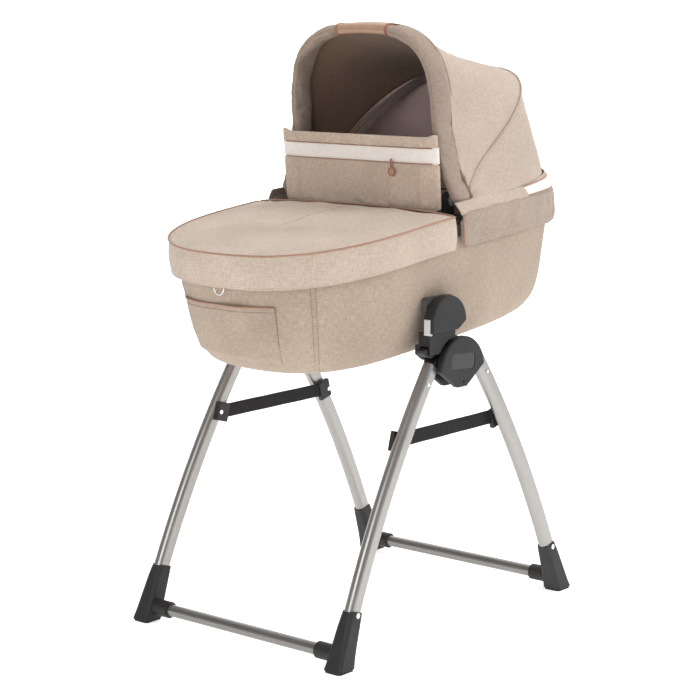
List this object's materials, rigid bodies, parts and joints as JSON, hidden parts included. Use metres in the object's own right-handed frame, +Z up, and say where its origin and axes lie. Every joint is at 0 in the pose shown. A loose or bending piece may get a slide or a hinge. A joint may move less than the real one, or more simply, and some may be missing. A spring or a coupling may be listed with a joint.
{
  "type": "bassinet on stand",
  "caption": "Fabric baby bassinet with folding hood, foot cover and raised wind flap, clipped on a folding stand of bowed metal legs with floor bars and black boots.",
  "frame": {"origin": "on the floor under the middle of the whole object", "axes": "+Z up; +X towards the head end, where the hood is; +Y to the left of someone lying in it"},
  "size_m": [0.8123, 0.482, 1.0428],
  "materials": {
    "melange_fabric": "taupe and beige melange weave",
    "lining_fabric": "plain dark taupe lining",
    "mattress_fabric": "off-white quilted cover over foam",
    "webbing": "black flat webbing",
    "leatherette": "brown fine-grained leatherette",
    "leg_metal": "satin champagne-grey",
    "bar_metal": "satin dark grey",
    "steel": "plain",
    "hub_plastic": "fine-grained black",
    "boot_plastic": "fine-grained black",
    "label_plastic": "blank gloss black",
    "button_plastic": "light grey",
    "shell_plastic": "dark grey moulded",
    "rubber": "ribbed black"
  },
  "bodies": {
    "stand_hubs": {"hub_housing_left": "hub_plastic", "hub_housing_right": "hub_plastic", "hub_cap_left": "hub_plastic", "hub_cap_right": "hub_plastic", "name_plates": "label_plastic", "upright_left": "hub_plastic", "upright_right": "hub_plastic", "head_cover_left": "hub_plastic", "head_cover_right": "hub_plastic", "head_tenons": "steel", "button_springs": "steel", "lever_springs": "steel", "leg_pivot_pins": "steel", "lever_pins": "steel", "hub_screws": "steel", "strap_left": "webbing", "strap_right": "webbing"},
    "foot_end_frame": {"foot_end_leg_left": "leg_metal", "foot_end_leg_right": "leg_metal", "foot_end_boot_left": "boot_plastic", "foot_end_boot_right": "boot_plastic", "foot_end_floor_bar": "bar_metal", "foot_end_fasteners": "steel", "foot_end_boot_soles": "rubber", "foot_end_strap_anchors": "boot_plastic", "foot_end_leg_knuckles": "boot_plastic"},
    "head_end_frame": {"head_end_leg_left": "leg_metal", "head_end_leg_right": "leg_metal", "head_end_boot_left": "boot_plastic", "head_end_boot_right": "boot_plastic", "head_end_floor_bar": "bar_metal", "head_end_fasteners": "steel", "head_end_boot_soles": "rubber", "head_end_strap_anchors": "boot_plastic", "head_end_leg_knuckles": "boot_plastic"},
    "fold_lever_left": {"fold_lever_left": "hub_plastic"},
    "release_button_left": {"release_button_left": "button_plastic"},
    "fold_lever_right": {"fold_lever_right": "hub_plastic"},
    "release_button_right": {"release_button_right": "button_plastic"},
    "bassinet": {"tub_cover": "melange_fabric", "tub_shell": "shell_plastic", "liner": "lining_fabric", "mattress_board": "shell_plastic", "mattress": "mattress_fabric", "rim_frame": "shell_plastic", "head_band": "melange_fabric", "side_bracket_left": "shell_plastic", "side_bracket_right": "shell_plastic", "hood_brackets": "shell_plastic", "hood_pins": "steel"},
    "foot_cover": {"foot_cover": "melange_fabric"},
    "wind_flap": {"wind_flap": "melange_fabric"},
    "zip_charm": {"zip_charm": "leatherette"},
    "hood_rear": {"rear_bow": "steel", "canopy_back": "melange_fabric"},
    "hood_front": {"front_bow": "steel", "bow_sleeve_left": "melange_fabric", "bow_sleeve_right": "melange_fabric", "grip": "leatherette", "canopy_front": "melange_fabric"}
  },
  "joints": [
    {"name": "foot_end_fold", "type": "hinge", "parent": "stand_hubs", "child": "foot_end_frame", "pos_m": [-0.076, 0, 0.474], "axis": [0, -1, 0], "range_deg": [0, 30], "deforming": ["strap_left", "strap_right"]},
    {"name": "head_end_fold", "type": "hinge", "parent": "stand_hubs", "child": "head_end_frame", "pos_m": [-0.02, 0, 0.474], "axis": [0, 1, 0], "range_deg": [0, 30]},
    {"name": "fold_lever_left_lift", "type": "hinge", "parent": "stand_hubs", "child": "fold_lever_left", "pos_m": [-0.121, 0.215, 0.5], "axis": [0, 1, 0], "range_deg": [0, 8], "stiffness_Nm_per_rad": 0.25, "springref_deg": -20.05, "deforming": ["lever_springs"]},
    {"name": "release_button_left_press", "type": "slide", "parent": "stand_hubs", "child": "release_button_left", "axis": [1, 0, 0], "range_m": [0, 0.004], "stiffness_N_per_m": 700, "springref_m": -0.004, "deforming": ["button_springs"]},
    {"name": "fold_lever_right_lift", "type": "hinge", "parent": "stand_hubs", "child": "fold_lever_right", "pos_m": [-0.121, -0.215, 0.5], "axis": [0, 1, 0], "range_deg": [0, 8], "stiffness_Nm_per_rad": 0.25, "springref_deg": -20.05},
    {"name": "release_button_right_press", "type": "slide", "parent": "stand_hubs", "child": "release_button_right", "axis": [1, 0, 0], "range_m": [0, 0.004], "stiffness_N_per_m": 700, "springref_m": -0.004},
    {"name": "bassinet_lift", "type": "slide", "parent": "stand_hubs", "child": "bassinet", "axis": [0, 0, 1], "range_m": [0, 0.15]},
    {"name": "foot_cover_lift", "type": "slide", "parent": "bassinet", "child": "foot_cover", "axis": [-0.0785, 0, 0.9969], "range_m": [0, 0.1]},
    {"name": "wind_flap_fold", "type": "hinge", "parent": "foot_cover", "child": "wind_flap", "pos_m": [-0.04446, 0, 0.72495], "axis": [0, -1, 0], "range_deg": [0, 85]},
    {"name": "charm_swing", "type": "hinge", "parent": "wind_flap", "child": "zip_charm", "pos_m": [-0.05782, -0.082, 0.81067], "axis": [0.9969, 0, 0.0785], "range_deg": [-30, 30]},
    {"name": "hood_rear_fold", "type": "hinge", "parent": "bassinet", "child": "hood_rear", "pos_m": [-0.00464, 0, 0.74163], "axis": [0, 1, 0], "range_deg": [0, 17.6], "deforming": ["canopy_back"]},
    {"name": "hood_front_fold", "type": "hinge", "parent": "hood_rear", "child": "hood_front", "pos_m": [-0.00464, 0, 0.74163], "axis": [0, 1, 0], "range_deg": [0, 44], "deforming": ["canopy_front"]}
  ],
  "couplings": [
    {"joint": "head_end_fold", "follows": "foot_end_fold", "ratio": 1},
    {"joint": "hood_rear_fold", "follows": "hood_front_fold", "ratio": 0.4}
  ]
}
